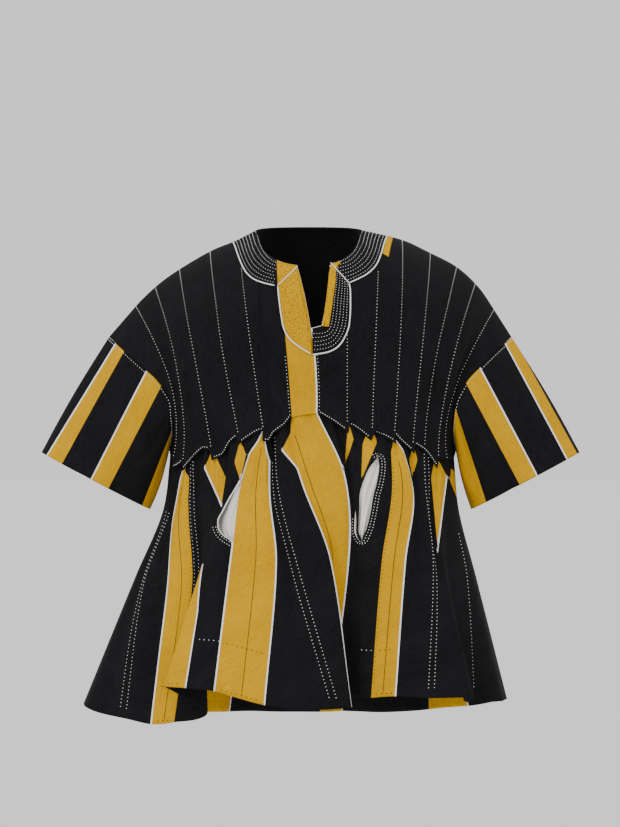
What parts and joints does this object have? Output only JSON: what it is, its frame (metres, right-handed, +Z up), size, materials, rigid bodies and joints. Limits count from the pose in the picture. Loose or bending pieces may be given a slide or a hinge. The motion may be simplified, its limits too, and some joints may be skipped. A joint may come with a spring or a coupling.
{
  "type": "fugu smock",
  "caption": "Wide-sleeved smock of sewn woven strips with a gathered striped skirt, an embroidered neck and a front slit, in its worn form.",
  "frame": {"origin": "shoulder height, in the middle of the neck opening, where the wearer's shoulders hold the smock", "axes": "+X to the wearer's left, +Y to the back, +Z up"},
  "size_m": [0.8602, 0.364, 0.7939],
  "materials": {
    "black_cloth": "matt handwoven cotton, near black",
    "gold_cloth": "matt handwoven cotton, golden yellow",
    "band_cloth": "near-black cotton with rows of white stitching",
    "pocket_cloth": "plain cream cotton",
    "white_thread": "white cotton sewing thread"
  },
  "bodies": {
    "root": {"bodice_front_strip_1": "black_cloth", "bodice_front_strip_2": "black_cloth", "bodice_front_strip_3": "black_cloth", "bodice_front_strip_4": "black_cloth", "bodice_front_strip_5": "black_cloth", "bodice_front_strip_6": "black_cloth", "bodice_front_strip_7": "gold_cloth", "bodice_front_strip_8": "black_cloth", "bodice_front_strip_9": "black_cloth", "bodice_front_strip_10": "black_cloth", "bodice_front_strip_11": "black_cloth", "bodice_front_strip_12": "black_cloth", "bodice_front_strip_13": "black_cloth", "bodice_front_strip_14": "black_cloth", "bodice_front_strip_15": "black_cloth", "bodice_back_strip_1": "black_cloth", "bodice_back_strip_2": "black_cloth", "bodice_back_strip_3": "black_cloth", "bodice_back_strip_4": "black_cloth", "bodice_back_strip_5": "black_cloth", "bodice_back_strip_6": "black_cloth", "bodice_back_strip_7": "black_cloth", "bodice_back_strip_8": "black_cloth", "bodice_back_strip_9": "black_cloth", "bodice_back_strip_10": "black_cloth", "skirt_front_strip_1": "black_cloth", "skirt_front_strip_2": "black_cloth", "skirt_front_strip_3": "black_cloth", "skirt_front_strip_4": "black_cloth", "skirt_front_strip_5": "gold_cloth", "skirt_front_strip_6": "black_cloth", "skirt_front_strip_7": "black_cloth", "skirt_front_strip_8": "gold_cloth", "skirt_front_strip_9": "black_cloth", "skirt_front_strip_10": "black_cloth", "skirt_front_strip_11": "black_cloth", "skirt_front_strip_12": "black_cloth", "skirt_front_strip_13": "black_cloth", "skirt_back_strip_1": "black_cloth", "skirt_back_strip_2": "black_cloth", "skirt_back_strip_3": "black_cloth", "skirt_back_strip_4": "black_cloth", "skirt_back_strip_5": "black_cloth", "skirt_back_strip_6": "black_cloth", "sleeve_right": "black_cloth", "sleeve_left": "black_cloth", "neck_band_right": "band_cloth", "neck_band_left": "band_cloth", "neck_band_back": "band_cloth", "slit_band": "band_cloth", "slit_edging": "gold_cloth", "pocket_bag_right": "pocket_cloth", "pocket_bag_left": "pocket_cloth"}
  },
  "joints": []
}
